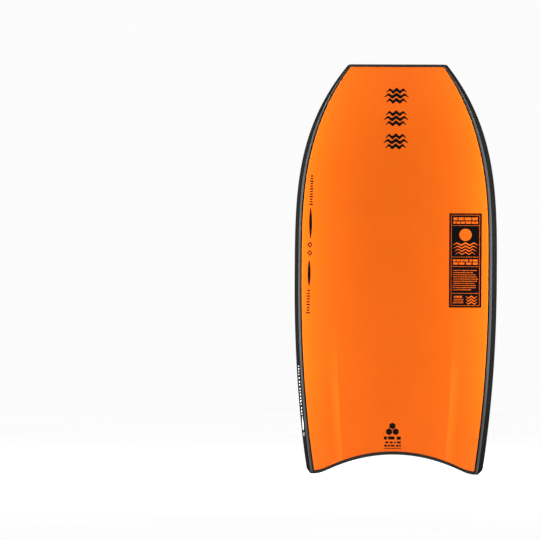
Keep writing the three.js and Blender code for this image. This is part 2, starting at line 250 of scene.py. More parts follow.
def corner_loss(z):
    """How much the corners take off the outermost edge at a height."""
    into_tail = ease(z, TAIL_CORNER_HEIGHT, 0, TAIL_CORNER_POWER)
    into_nose = ease(z, LENGTH - NOSE_CORNER, LENGTH, 2)
    tail_loss = TAIL_CORNER_WIDTH * (1 - (1 - into_tail) ** (1 / TAIL_CORNER_POWER))
    return tail_loss + NOSE_CORNER * (1 - np.sqrt(1 - into_nose))


def place(x, z, depth):
    """Drawing millimetres to metres in the row frame."""
    x, z, depth = np.broadcast_arrays(x, z, depth)
    y = SLICK_Y - lift(z) - depth
    return np.stack([x, y, z + FOOT], axis=-1) * MM


# ---------------------------------------------------------------- mesh helpers

def make_piece(name, points, faces, materials, zones=None, sharp=40):
    """A closed mesh piece, smooth apart from edges sharper than the given angle."""
    mesh = bpy.data.meshes.new(name)
    mesh.from_pydata(points.reshape(-1, 3).tolist(), [], faces)
    for material in materials:
        mesh.materials.append(material)
    if zones is not None:
        mesh.polygons.foreach_set("material_index", zones)
    body = bmesh.new()
    body.from_mesh(mesh)
    bmesh.ops.remove_doubles(body, verts=body.verts, dist=MERGE_DISTANCE)
    bmesh.ops.dissolve_degenerate(body, edges=body.edges, dist=MERGE_DISTANCE)
    bmesh.ops.recalc_face_normals(body, faces=body.faces)
    body.to_mesh(mesh)
    body.free()
    mesh.shade_smooth()
    mesh.set_sharp_from_angle(angle=math.radians(sharp))
    piece = bpy.data.objects.new(name, mesh)
    bpy.context.scene.collection.objects.link(piece)
    return piece


def grid_faces(rows, columns, start=0):
    """Quads of a grid that is stored row by row."""
    row, column = np.meshgrid(np.arange(rows - 1), np.arange(columns - 1), indexing="ij")
    first = (start + row * columns + column).ravel()
    return np.stack([first, first + 1, first + columns + 1, first + columns], axis=1)


def rim_of(rows, columns):
    """Indices of a grid's rim, once round."""
    index = np.arange(rows * columns).reshape(rows, columns)
    return np.concatenate([index[0, :-1], index[:-1, -1], index[-1, :0:-1], index[:0:-1, 0]])


def band_faces(first, second):
    """Quads between two closed loops of vertex indices."""
    return np.stack([first, np.roll(first, -1), np.roll(second, -1), second], axis=1)


def plan(u, v, insets):
    """Places of a grid inside the outline, drawn in by insets at its sides, tail and nose."""
    side, tail, nose = insets
    x = u * HALF_WIDTH
    for _ in range(SETTLING_ROUNDS):
        low = tail_height(x) + tail
        z = low + v * (LENGTH - nose - low)
        x = u * (half_width(z) - (side(z) if callable(side) else side))
    return x, z


def sheet_points(u, v, top, edges, bottom):
    """A closed sheet: a top grid, loops of edge points round its rim, and a bottom grid.
    Each is (insets, depth), where depth is a function of x and z."""
    def spots(u_values, v_values, insets, depth):
        x, z = plan(u_values, v_values, insets)
        return place(x, z, depth(x, z)).reshape(-1, 3)

    v_grid, u_grid = np.meshgrid(v, u, indexing="ij")
    rows, columns = v_grid.shape
    rim = rim_of(rows, columns)
    u_rim, v_rim = u_grid.ravel()[rim], v_grid.ravel()[rim]
    blocks = [spots(u_grid, v_grid, *top)]
    blocks += [spots(u_rim, v_rim, *edge) for edge in edges]
    blocks.append(spots(u_grid, v_grid, *bottom))
    area, loop = rows * columns, len(rim)
    loops = [rim] + [area + k * loop + np.arange(loop) for k in range(len(edges))]
    loops.append(area + len(edges) * loop + rim)
    faces = [grid_faces(rows, columns), grid_faces(rows, columns, area + len(edges) * loop)]
    faces += [band_faces(a, b) for a, b in zip(loops, loops[1:])]
    return np.concatenate(blocks), np.concatenate(faces).tolist()


def swept_points(rings):
    """A closed body from an array of rings, [station, point, xyz], with flat ends."""
    stations, count, _ = rings.shape
    loops = np.arange(stations * count).reshape(stations, count)
    faces = np.concatenate([band_faces(a, b) for a, b in zip(loops, loops[1:])]).tolist()
    faces += [loops[0].tolist(), loops[-1, ::-1].tolist()]
    return rings, faces


def along(low, high, step):
    """Evenly spaced values from low to high, no further apart than a step."""
    return np.linspace(low, high, max(2, math.ceil((high - low) / step) + 1))


# ---------------------------------------------------------------- materials

NOISE_LOW, NOISE_HIGH = 0.3, 0.7      # where most of a noise texture's values lie


class Shader:
    """A Principled material and the procedural nodes that feed it."""

    def __init__(self, name):
        self.material = bpy.data.materials.new(name)
        self.material.use_nodes = True
        self.nodes = self.material.node_tree.nodes
        self.links = self.material.node_tree.links
        self.surface = self.nodes["Principled BSDF"]
        self.where = self.nodes.new("ShaderNodeTexCoord").outputs["Object"]

    def feed(self, name, value):
        self.links.new(value, self.surface.inputs[name])

    def noise(self, scale, detail, roughness):
        """Fractal noise. Scale is in features per metre."""
        node = self.nodes.new("ShaderNodeTexNoise")
        node.inputs["Scale"].default_value = scale
        node.inputs["Detail"].default_value = detail
        node.inputs["Roughness"].default_value = roughness
        self.links.new(self.where, node.inputs["Vector"])
        return node.outputs["Fac"]

    def cells(self, scale, feature="F1"):
        node = self.nodes.new("ShaderNodeTexVoronoi")
        node.feature = feature
        node.inputs["Scale"].default_value = scale
        self.links.new(self.where, node.inputs["Vector"])
        return node.outputs["Distance"]

    def ramp(self, value, stops):
        """A colour for a value, from (position, colour) stops."""
        node = self.nodes.new("ShaderNodeValToRGB")
        for element, (position, colour) in zip(node.color_ramp.elements, stops):
            element.position = position
            element.color = (*colour, 1)
        self.links.new(value, node.inputs["Fac"])
        return node.outputs["Color"]

    def spread(self, value, low, high):
        """A noise value spread over a range."""
        node = self.nodes.new("ShaderNodeMapRange")
        node.inputs["From Min"].default_value = NOISE_LOW
        node.inputs["From Max"].default_value = NOISE_HIGH
        node.inputs["To Min"].default_value = low
        node.inputs["To Max"].default_value = high
        self.links.new(value, node.inputs["Value"])
        return node.outputs["Result"]

    def combined(self, a, b, kind):
        """Two colours in one, such as their sum or product."""
        node = self.nodes.new("ShaderNodeMix")
        node.data_type = "RGBA"
        node.blend_type = kind
        inputs = {socket.name: socket for socket in node.inputs if socket.enabled}
        inputs["Factor"].default_value = 1
        self.links.new(a, inputs["A"])
        self.links.new(b, inputs["B"])
        return next(socket for socket in node.outputs if socket.enabled)

    def bumped(self, height, strength, distance, over=None):
        node = self.nodes.new("ShaderNodeBump")
        node.inputs["Strength"].default_value = strength
        node.inputs["Distance"].default_value = distance
        self.links.new(height, node.inputs["Height"])
        if over is not None:
            self.links.new(over, node.inputs["Normal"])
        return node.outputs["Normal"]


def grey(value):
    return (value, value, value)


def slick_material():
    """Satin ionomer film, faintly uneven in colour and gloss, with a little orange peel."""
    film = Shader("slick_film")
    clouds = film.noise(scale=9, detail=4, roughness=0.55)
    oranges = [(0.3, (0.65, 0.1035, 0.003)), (0.7, (0.685, 0.1105, 0.0035))]
    film.feed("Base Color", film.ramp(clouds, oranges))
    haze = film.noise(scale=60, detail=5, roughness=0.6)
    film.feed("Roughness", film.spread(haze, 0.38, 0.46))
    peel = film.noise(scale=420, detail=2, roughness=0.5)
    waves = film.noise(scale=22, detail=2, roughness=0.5)
    normal = film.bumped(peel, strength=0.08, distance=0.0004)
    normal = film.bumped(waves, strength=0.12, distance=0.001, over=normal)
    film.feed("Normal", normal)
    film.surface.inputs["Specular IOR Level"].default_value = 0.1
    return film.material


def foam_material(name, *, dark, light, speck, roughness, cell_size, bump, specular):
    """Closed-cell foam: cell texture, pale specks and faint smudges. Cell size is in metres."""
    foam = Shader(name)
    smudge = foam.noise(scale=7, detail=5, roughness=0.6)
    base = foam.ramp(smudge, [(0.35, grey(dark)), (0.7, (light, light, light * 1.03))])
    grit = foam.noise(scale=420, detail=3, roughness=0.7)
    dust = foam.ramp(grit, [(0.52, grey(0)), (0.78, grey(speck))])
    foam.feed("Base Color", foam.combined(base, dust, "ADD"))
    cell = foam.cells(1 / cell_size)
    pores = foam.noise(scale=0.45 / cell_size, detail=3, roughness=0.6)
    foam.feed("Roughness", foam.spread(smudge, roughness - 0.07, roughness + 0.06))
    normal = foam.bumped(cell, strength=bump, distance=0.0005)
    normal = foam.bumped(pores, strength=bump, distance=0.0006, over=normal)
    foam.feed("Normal", normal)
    foam.surface.inputs["Specular IOR Level"].default_value = specular
    return foam.material


def ink_material(name, colour, roughness):
    """Screen-printed ink, a little patchy."""
    ink = Shader(name)
    patches = ink.noise(scale=160, detail=4, roughness=0.6)
    worn = tuple(min(1, part * 1.25 + 0.0008) for part in colour)
    ink.feed("Base Color", ink.ramp(patches, [(0.35, colour), (0.75, worn)]))
    ink.feed("Roughness", ink.spread(patches, roughness - 0.05, roughness + 0.08))
    ink.feed("Normal", ink.bumped(patches, strength=0.1, distance=0.0002))
    ink.surface.inputs["Specular IOR Level"].default_value = 0.08
    return ink.material


def core_material():
    """Polypropylene beads, fused into cells a few millimetres across."""
    beads = Shader("core_foam")
    walls = beads.cells(260, "DISTANCE_TO_EDGE")
    shades = [(0.0, (0.62, 0.62, 0.6)), (0.12, (0.86, 0.86, 0.83))]
    beads.feed("Base Color", beads.ramp(walls, shades))
    beads.feed("Normal", beads.bumped(walls, strength=0.5, distance=0.001))
    beads.surface.inputs["Roughness"].default_value = 0.82
    return beads.material


def woven_material(name, thread, hole, pitch, roughness):
    """Crossed threads, as in netting or fibre cloth. Pitch is in metres."""
    cloth = Shader(name)
    weave = cloth.nodes.new("ShaderNodeTexChecker")
    weave.inputs["Scale"].default_value = 1 / pitch
    weave.inputs["Color1"].default_value = (*thread, 1)
    weave.inputs["Color2"].default_value = (*hole, 1)
    cloth.links.new(cloth.where, weave.inputs["Vector"])
    fray = cloth.noise(scale=0.6 / pitch, detail=3, roughness=0.6)
    tint = cloth.ramp(fray, [(0.3, grey(0.85)), (0.7, grey(1))])
    cloth.feed("Base Color", cloth.combined(weave.outputs["Color"], tint, "MULTIPLY"))
    cloth.feed("Normal", cloth.bumped(weave.outputs["Fac"], strength=0.4, distance=pitch / 6))
    cloth.surface.inputs["Roughness"].default_value = roughness
    return cloth.material


def moulded_material():
    """Black plastic with a fine moulded grain."""
    plastic = Shader("cap_plastic")
    grain = plastic.noise(scale=900, detail=3, roughness=0.6)
    plastic.feed("Base Color", plastic.ramp(grain, [(0.3, grey(0.03)), (0.7, grey(0.06))]))
    plastic.feed("Normal", plastic.bumped(grain, strength=0.2, distance=0.0002))
    plastic.surface.inputs["Roughness"].default_value = 0.55
    return plastic.material


SLICK = slick_material()
DECK_FOAM = foam_material("deck_foam", dark=0.001, light=0.0022, speck=0.015, roughness=0.8,
                          cell_size=0.0011, bump=0.3, specular=0.03)
RAIL_FOAM = foam_material("rail_foam", dark=0.005, light=0.008, speck=0.010, roughness=0.42,
                          cell_size=0.0008, bump=0.15, specular=0.17)
# Painted light: the lower rail's foam is a lighter copy of the rail foam, for the lit band beside
# the slick.
LOWER_RAIL_LIT_FOAM = foam_material("lower_rail_foam", dark=0.016, light=0.022, speck=0.016,
                                roughness=0.4, cell_size=0.0008, bump=0.15, specular=0.2)
# Painted shade: a darker, matte copy of the rail foam for the outer facet below the apex.
FACET_SHADE_FOAM = foam_material("facet_painted_shade", dark=0.0025, light=0.004, speck=0.006, roughness=0.75,
                           cell_size=0.0008, bump=0.15, specular=0.03)
# Painted highlight: a lighter copy of the rail foam on the round into the deck, which is also given
# a glossy finish.
SHOULDER_HIGHLIGHT_FOAM = foam_material("shoulder_painted_highlight", dark=0.014, light=0.018, speck=0.012,
                              roughness=0.22, cell_size=0.0008, bump=0.08, specular=0.95)
# Painted shade: a near-black copy of the rail foam, laid in the groove beside the slick where shade
# falls.
GROOVE_SHADE_FOAM = foam_material("groove_painted_shade", dark=0.003, light=0.004, speck=0.004, roughness=0.7,
                          cell_size=0.0008, bump=0.2, specular=0.1)
STRIP_FOAM = foam_material("strip_foam", dark=0.006, light=0.009, speck=0.012, roughness=0.5,
                           cell_size=0.0008, bump=0.2, specular=0.13)
# The pressed wave marks are real; their lighter grey stands for their sheen, a painted sheen.
PRESSED_SHEEN_FOAM = foam_material("pressed_painted_sheen", dark=0.02, light=0.035, speck=0.02, roughness=0.5,
                             cell_size=0.0008, bump=0.1, specular=0.3)
BLACK_INK = ink_material("print_black", (0.0012, 0.0012, 0.0014), 0.6)
ORANGE_INK = ink_material("print_orange", (0.6, 0.093, 0.004), 0.5)
WHITE_INK = ink_material("print_white", (0.44, 0.45, 0.46), 0.5)


def dress_hidden_nodes():
    """The pieces inside the board keep their CAD shape and get their own finish."""
    net = woven_material("mesh_netting", thread=(0.78, 0.78, 0.74), hole=(0.3, 0.3, 0.28),
                         pitch=0.004, roughness=0.6)
    fibre = woven_material("stringer_composite", thread=(0.025, 0.025, 0.028),
                           hole=(0.05, 0.05, 0.055), pitch=0.002, roughness=0.35)
    cap = moulded_material()
    plug = foam_material("plug_foam", dark=0.08, light=0.12, speck=0.03, roughness=0.8,
                         cell_size=0.0012, bump=0.3, specular=0.3)
    backing = foam_material("backing_foam", dark=0.04, light=0.05, speck=0.02, roughness=0.8,
                            cell_size=0.0009, bump=0.25, specular=0.3)
    finishes = {
        "core": core_material(),
        "stringer_tube": fibre,
        "stringer_cap_nose": cap,
        "stringer_cap_tail": cap,
        "stringer_plug": plug,
        "slick_backing": backing,
        "slick_mesh": net,
        "deck_mesh": net,
    }
    for name, finish in finishes.items():
        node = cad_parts[name]
        node.data.materials.clear()
        node.data.materials.append(finish)


# ---------------------------------------------------------------- skins

def mirrored(values):
    """Grid shares from -1 to 1, given those from 0 to 1."""
    return np.concatenate([-values[:0:-1], values])


def slick_skin():
    """The film, with its edges rolled down towards the rails and strips."""
    def at(offset):
        return lambda x, z: slick_at(x, z) + offset

    def drawn_in(amount):
        return (lambda z: slick_inset(z) + amount, TAIL_LIP + amount, NOSE_LIP + amount)

    # Columns stand close together on the channel's steep wall
    half = np.concatenate([
        along(0, 0.6, 0.03), along(0.6, 0.74, 0.005)[1:], along(0.74, 1, 0.015)[1:],
    ])
    points, faces = sheet_points(
        mirrored(half), along(0, 1, LENGTHWISE_STEP),
        (drawn_in(0.9), at(0)),
        [(drawn_in(0.4), at(0.08)), (drawn_in(0.1), at(0.3)), (drawn_in(0), at(0.6))],
        (drawn_in(0), at(SLICK_SKIN)),
    )
    piece = make_piece("slick_skin_film", points, faces, [SLICK])
    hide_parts("slick_skin")
    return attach(piece, "root")


def deck_skin():
    """The foam sheet on the deck, with softened edges."""
    def surface(drop):
        return lambda x, z: deck_at(x, z) - round_in(LENGTH - z, NOSE_DECK_ROUND) - drop

    def underside(x, z):
        return deck_at(x, z) - DECK_SKIN

    def drawn_in(amount, nose):
        return (DECK_INSET + amount, TAIL_BEVEL + amount, nose)

    # Columns stand closer together where the deck rolls over
    half = np.concatenate([along(0, 0.9, 0.02), along(0.9, 1, 0.01)[1:]])
    points, faces = sheet_points(
        mirrored(half), along(0, 1, LENGTHWISE_STEP),
        (drawn_in(4, 4), surface(0)),
        [
            (drawn_in(2.2, 2.8), surface(0)),
            (drawn_in(1.0, 1.8), surface(0.02)),
            (drawn_in(0.55, 1.1), surface(0.1)),
            (drawn_in(0.25, 0.6), surface(0.28)),
            (drawn_in(0.08, 0.2), surface(0.55)),
            (drawn_in(0, 0), surface(0.95)),
        ],
        (drawn_in(0, 0), underside),
    )
    piece = make_piece("deck_skin_foam", points, faces, [DECK_FOAM], sharp=60)
    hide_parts("deck_skin")
    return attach(piece, "root")


# ---------------------------------------------------------------- rails

GROOVE_FACES = 5              # the faces of the lower section in painted shade, the first ones from the slick
# How many points each stretch of a rail's section has
LOWER_FACET_POINTS = 12
FACET_POINTS = 9
APEX_POINTS = 12
CHINE_POINTS = 8
SHOULDER_POINTS = 9
# Where stretches of the upper section start, after one point inside the seam. The round of the
# apex and the shoulder share their end points with their neighbours
CHINE_START = 1 + FACET_POINTS + APEX_POINTS - 2
APEX_MIDDLE = 1 + FACET_POINTS + (APEX_POINTS - 2) // 2
SHOULDER_START = CHINE_START + CHINE_POINTS - 1


def bezier(start, control, end, steps):
    t = np.linspace(0, 1, steps)[:, None]
    return (1 - t) ** 2 * start + 2 * t * (1 - t) * control + t * t * end


def rail_stations():
    """Heights above the tail line where a rail's section is drawn, close together at its ends."""
    deck_stop = TAIL_BEVEL - 0.15
    near_tail = np.concatenate([along(0, 20, 0.8), along(20, deck_stop - 0.2, 1)[1:]])
    middle = along(TAIL_BEVEL + 1, LENGTH - NOSE_CORNER - 3, 5)
    near_nose = LENGTH - along(0, NOSE_CORNER + 2, 0.4)[::-1]
    return np.concatenate([near_tail, [deck_stop, deck_stop + 0.2], middle, near_nose])


def rail_place(side, above, height, inset):
    """The x and z of a rail's section points, drawn in where the corners are cut."""
    innermost = min(DECK_INSET, slick_inset(height)) - GAP
    z = np.full_like(inset, height)
    for _ in range(RAIL_SETTLING_ROUNDS):
        shrink = np.maximum(0, 1 - inset / innermost) * corner_loss(z)
        x = side * (half_width(z) - inset - shrink)
        z = above + tail_height(x) * (1 - above / LENGTH)
    return x, z


def swept_rail(name, side, section, materials, zone_of):
    """Sweeps a section of insets, depths and whether each is on the deck's side, and clips it to
    the tail and the nose."""
    stations = rail_stations()
    rings = []
    for above in stations:
        height = above + tail_height(RAIL_X) * (1 - above / LENGTH)
        inset, depth, deck_side = section(height, above)
        x, z = rail_place(side, above, height, inset)
        softness = np.where(deck_side, SHOULDER_SOFTNESS, EDGE_SOFTNESS)
        clipped = soft_min(depth, tail_bevel(above, z), softness)
        if above < TAIL_LIP:
            clipped = np.maximum(clipped, tail_under(above, x, z))
        clipped = np.minimum(clipped, deck_at(x, z) - round_in(LENGTH - z, NOSE_DECK_ROUND))
        clipped = np.maximum(clipped, slick_at(x, z) + round_in(LENGTH - z, NOSE_LIP))
        rings.append(place(x, z, clipped))
    points, faces = swept_points(np.array(rings))
    count = points.shape[1]
    zones = np.tile([zone_of(k) for k in range(count)], len(stations) - 1).tolist() + [0, 0]
    return make_piece(name, points, faces, materials, zones)


def lower_rail_section(z, _above):
    seam = SEAM_SHARE * thickness(z)
    start = slick_inset(z)
    crease = crease_inset(z)
    face = slick_face(1, z)
    groove = SEAM_WIDTH * start / RAIL_WIDTH
    outer = bezier(
        np.array([start - groove, face + 1.1]),
        np.array([(start - groove + crease) / 2 - 0.9, (face + seam) / 2 - 1.8]),
        np.array([crease + 0.7, seam - 0.9]),
        LOWER_FACET_POINTS,
    )
    wall = wall_inset(z, seam) - GAP
    section = np.vstack([
        [start - GAP, face + 1.8],
        [start - GAP - 0.2, face + 1.5],
        [start - groove * 0.45, face + 1.7],
        [start - groove * 0.85, face + 1.55],
        outer,
        [crease + 0.55, seam - 0.5],
        [crease + 1.1, seam - GAP],
        [wall, seam - GAP],
    ])
    return section[:, 0], section[:, 1], np.zeros(len(section), bool)


def outer_facet(z):
    """The facet over the seam: its lower end, and the control point of the round it runs into.
    Both are pairs of inset and depth."""
    z = np.asarray(z, float)
    low = np.stack([crease_inset(z) - 0.1, SEAM_SHARE * thickness(z) + 0.55], -1)
    beyond_apex = np.stack([np.full_like(z, -APEX_REACH), APEX_SHARE * thickness(z)], -1)
    return low, beyond_apex


def upper_rail_section(z, above):
    full = thickness(z)
    seam = SEAM_SHARE * full
    deck_edge = full - DECK_ROLL
    low, beyond_apex = outer_facet(z)
    shoulder = np.array([9.0, deck_edge - 3.6])
    top = np.array([DECK_INSET - GAP - 0.3, deck_edge - 0.1])
    low_round = low + (beyond_apex - low) * FACET_SHARE
    high_round = beyond_apex + (shoulder - beyond_apex) * CHINE_SHARE
    facet = bezier(low, (low + low_round) / 2 + FACET_BULGE, low_round, FACET_POINTS)
    apex = bezier(low_round, beyond_apex, high_round, APEX_POINTS)[1:-1]
    chine_middle = (high_round + shoulder) / 2 + [-0.2, 0.15]
    chine = bezier(high_round, chine_middle, shoulder, CHINE_POINTS)
    shoulder_corner = np.array([11.6, deck_edge - 0.15])
    rounded = bezier(shoulder, shoulder_corner, top, SHOULDER_POINTS)[1:]
    under_deck = above > TAIL_BEVEL - 0.1
    ledge = deck_edge - DECK_SKIN - GAP
    covered = ledge if under_deck else full + 5
    section = np.vstack([
        [crease_inset(z) + 0.5, seam + 0.1],
        facet,
        apex,
        chine,
        rounded,
        [DECK_INSET - GAP, deck_edge - 0.8 if under_deck else full + 5],
        [DECK_INSET - GAP + 0.05, covered],
        [wall_inset(z, ledge) - GAP, covered],
        [wall_inset(z, seam) - GAP, seam + 0.1],
    ])
    return section[:, 0], section[:, 1], np.arange(len(section)) >= CHINE_START


def upper_rail_zone(k):
    """The facet below the outermost edge, in painted shade, the chine above it, and its round into
    the deck, with a painted highlight.
    """
    if k < APEX_MIDDLE:
        return 0
    return 2 if SHOULDER_START <= k < SHOULDER_START + SHOULDER_POINTS else 1


def lower_rail_zone(k):
    """The facet beside the slick, lighter as painted light, and the groove between them, dark as
    painted shade.
    """
    return 1 if k < GROOVE_FACES else 0


def rails():
    for name, side in (("left", -1), ("right", 1)):
        upper = swept_rail(f"upper_rail_{name}_foam", side, upper_rail_section,
                           [FACET_SHADE_FOAM, RAIL_FOAM, SHOULDER_HIGHLIGHT_FOAM], upper_rail_zone)
        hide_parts(f"upper_rail_{name}")
        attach(upper, "root")
        lower = swept_rail(f"lower_rail_{name}_foam", side, lower_rail_section,
                           [LOWER_RAIL_LIT_FOAM, GROOVE_SHADE_FOAM], lower_rail_zone)
        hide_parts(f"lower_rail_{name}")
        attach(lower, "root")


# ---------------------------------------------------------------- strips

def strip_points(section, height, stations):
    """A strip between the rails. Section gives distances from the end of the board and depths,
    for a share of the way across and an x, and height turns x and a distance into z."""
    rings = []
    for share in np.linspace(-1, 1, stations):
        x = np.full(1, share * RAIL_X)
        for _ in range(SETTLING_ROUNDS):
            distance, depth = section(share, x)
            z = height(x, distance)
            x = share * (half_width(z) - wall_inset(z, depth) + STRIP_OVERLAP)
        rings.append(place(x, z, depth))
    return swept_points(np.array(rings))


def tail_strip():
    """The strip along the crescent: rounded under the slick's end and bevelled up to the deck."""
    under = along(0, 1, 0.125)
    bevel = along(0, 1, 1 / 24)[1:]
    stop = TAIL_BEVEL - GAP - 0.3

    def section(share, x):
        line = float(np.mean(tail_height(x)))
        face = float(slick_face(share, line + TAIL_LIP))
        inner_face = float(slick_face(share, line + TAIL_STRIP_DEPTH))
        edge = TAIL_EDGE_SHARE * thickness(line)
        lip = TAIL_LIP - GAP
        angle = under * math.pi / 2
        under_depth = face + (edge - face) * (1 - np.cos(angle))
        under_points = np.stack([lip * (1 - np.sin(angle)), under_depth], 1)
        above = stop * bevel ** TAIL_BEVEL_POWER
        bevel_points = np.stack([above, tail_bevel(above, line + above)], 1)
        deck = float(deck_face(share, line + TAIL_BEVEL))
        bevel_points[:, 1] = soft_min(bevel_points[:, 1], deck, SHOULDER_SOFTNESS)
        floor = slick_face(share, line) + SLICK_SKIN + GAP
        points = np.vstack([
            [lip + 0.05, floor],
            under_points,
            bevel_points,
            [TAIL_BEVEL - GAP, bevel_points[-1, 1] - 0.6],
            [TAIL_BEVEL - GAP, deck - DECK_SKIN - GAP],
            [TAIL_STRIP_DEPTH, deck - DECK_SKIN - GAP],
            [TAIL_STRIP_DEPTH, inner_face + SLICK_SKIN + GAP],
        ])
        return points[:, 0], points[:, 1]

    points, faces = strip_points(section, lambda x, above: tail_height(x) + above, stations=181)
    piece = make_piece("tail_strip_foam", points, faces, [STRIP_FOAM])
    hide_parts("tail_strip")
    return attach(piece, "root")


def nose_strip():
    """The strip across the nose, rounded at the slick's end and under the deck skin."""
    quarter = along(0, 1, 0.125) * math.pi / 2

    def section(share, _x):
        face = float(slick_face(share, LENGTH))
        top = float(deck_face(share, LENGTH)) - DECK_SKIN - GAP
        rounded = np.stack([(NOSE_LIP - GAP) * (1 - np.sin(quarter)),
                            face + NOSE_LIP * (1 - np.cos(quarter))], 1)
        points = np.vstack([
            [NOSE_LIP - GAP + 0.05, face + SLICK_SKIN + GAP],
            rounded,
            [0, top - 0.6],
            [0.15, top - 0.1],
            [0.5, top],
            [NOSE_STRIP_DEPTH, top],
            [NOSE_STRIP_DEPTH, face + SLICK_SKIN + GAP],
        ])
        return points[:, 0], points[:, 1]

    points, faces = strip_points(section, lambda x, back: LENGTH - back, stations=61)
    piece = make_piece("nose_strip_foam", points, faces, [STRIP_FOAM])
    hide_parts("nose_strip")
    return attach(piece, "root")


# ---------------------------------------------------------------- prints

PRINT_SINK = 0.03
PRINT_RISE = 0.07
PRINT_STEP = 3


class Print:
    """Areas of ink on one surface of the board, joined in one piece. The surface turns two
    distances and a height above it into places."""

    def __init__(self, surface):
        self.surface = surface
        self.points = []
        self.faces = []

    def area(self, across, up, rise=PRINT_RISE):
        """A closed thin sheet over a grid of spots."""
        start = sum(len(block) for block in self.points)
        rows, columns = across.shape
        count = rows * columns
        self.points.append(self.surface(across, up, rise).reshape(-1, 3))
        self.points.append(self.surface(across, up, -PRINT_SINK).reshape(-1, 3))
        rim = rim_of(rows, columns) + start
        self.faces += grid_faces(rows, columns, start).tolist()
        self.faces += grid_faces(rows, columns, start + count)[:, ::-1].tolist()
        self.faces += band_faces(rim, rim + count).tolist()

    def patch(self, corners, rise=PRINT_RISE):
        """A four-cornered area, given by its corners in order."""
        a, b, c, d = (np.array(corner, float) for corner in corners)
        wide = max(np.linalg.norm(b - a), np.linalg.norm(c - d), PRINT_STEP)
        tall = max(np.linalg.norm(d - a), np.linalg.norm(c - b), PRINT_STEP)
        rows, columns = along(0, 1, PRINT_STEP / tall), along(0, 1, PRINT_STEP / wide)
        v, u = np.meshgrid(rows, columns, indexing="ij")
        v, u = v[..., None], u[..., None]
        spots = (1 - v) * ((1 - u) * a + u * b) + v * ((1 - u) * d + u * c)
        self.area(spots[..., 0], spots[..., 1], rise)

    def bar(self, x, z, width, height, rise=PRINT_RISE, slant=0):
        """A bar round a middle point. Slant moves its upper edge sideways."""
        across, up = width / 2, height / 2
        self.patch([(x - across - slant / 2, z - up), (x + across - slant / 2, z - up),
                    (x + across + slant / 2, z + up), (x - across + slant / 2, z + up)], rise)

    def blob(self, x, z, half_height, half_width, rise=PRINT_RISE, steps=28):
        """An area whose half width is a function of the share from -1 at its foot to 1."""
        share = np.linspace(-1, 1, steps + 1)[:, None]
        u = np.linspace(-1, 1, 5)[None, :]
        self.area(x + u * half_width(share), z + share * half_height + 0 * u, rise)

    def wave(self, x, z, half_width, amplitude, periods, weight, rise=PRINT_RISE, taper=2.5):
        """A wavy stroke, drawn thinner towards its ends."""
        u = np.linspace(-1, 1, 24 * periods + 1)[None, :]
        v = np.array([-0.5, 0, 0.5])[:, None]
        middle = amplitude * np.cos(math.pi * periods * u)
        thick = weight * (1 - np.abs(u) ** taper * 0.85)
        self.area(x + u * half_width + 0 * v, z + middle + v * thick, rise)

    def words(self, left, right, z, height, seed, rise=PRINT_RISE):
        """A row of plain dashes of uneven length."""
        random = np.random.RandomState(seed)
        start = left
        while start < right - height * 0.6:
            length = min(random.uniform(0.8, 2.6) * height, right - start)
            self.bar(start + length / 2, z, length, height, rise)
            start += length + height * random.choice([0.35, 0.35, 0.7])

    def make(self, name, material):
        piece = make_piece(name, np.concatenate(self.points), self.faces, [material])
        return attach(piece, "root")


def on_slick(x, z, rise):
    return place(x, z, slick_at(x, z) - rise)


def on_deck(x, z, rise):
    return place(x, z, deck_at(x, z) + rise)


def on_tail(x, above, rise):
    z = tail_height(x) + above
    return place(x, z, tail_bevel(above, z) + rise)


def on_right_rail(across, z, rise):
    """The outer facet of the rail at +X. Across is measured from its lower end."""
    low, beyond_apex = outer_facet(z)
    run = beyond_apex - low
    length = np.linalg.norm(run, axis=-1, keepdims=True)
    share = across[..., None] / length
    bulge = 2 * (share / FACET_SHARE) * (1 - share / FACET_SHARE) * FACET_BULGE
    outward = np.stack([-run[..., 1], run[..., 0]], -1) / length
    spot = low + run * share + bulge + outward * rise
    return place(half_width(z) - spot[..., 0], z, spot[..., 1])


MARK_HEIGHTS = (867, 927, 986)              # wave marks on the nose of the slick
DECK_MARK_HEIGHTS = (857, 917, 977)
MARK_SPACING = 13                           # between a mark's three strokes
SIDE_TICKS = ((420, 478), (702, 776))       # runs of the line of marks beside the rail
SIDE_DASHES = ((488, 558), (613, 694))
SIDE_DIAMONDS = (576, 597)
TICK_SPACING = 6.5
TAIL_MARK_X = 4
LABEL_LEFT, LABEL_RIGHT = -225.5, -141
LABEL_BOTTOM, LABEL_TOP = 436, 681
LABEL_RULES = (5, 32, 113.8, 138.5, 208, 239.8)     # below the top of the label
LABEL_TEXT_ENDS = (3, 12, 5, 3, 0, 2, 8, 5, 5, 17)  # how far in each row of small dashes starts
RAIL_DASHES_TOP, RAIL_DASHES_BOTTOM = 282, 154
RAIL_BARS = ((145, 12, 2.2), (128.5, 27, 4.8), (104, 9, 2.2))   # middle, length, width
RAIL_MARKS_ACROSS = 8.3                     # their distance from the seam


def nose_marks():
    """Three marks of three wavy strokes each."""
    ink = Print(on_slick)
    for height in MARK_HEIGHTS:
        for row, half in enumerate((27, 32, 27)):
            z = height + MARK_SPACING * (1 - row)
            ink.wave(0, z, half, amplitude=3, periods=3, weight=9.5)
    ink.make("nose_waves", BLACK_INK)


def side_line_x(z):
    """The line of marks beside the rail leans with the outline."""
    return 225.2 - 0.0234 * (z - 448.5)


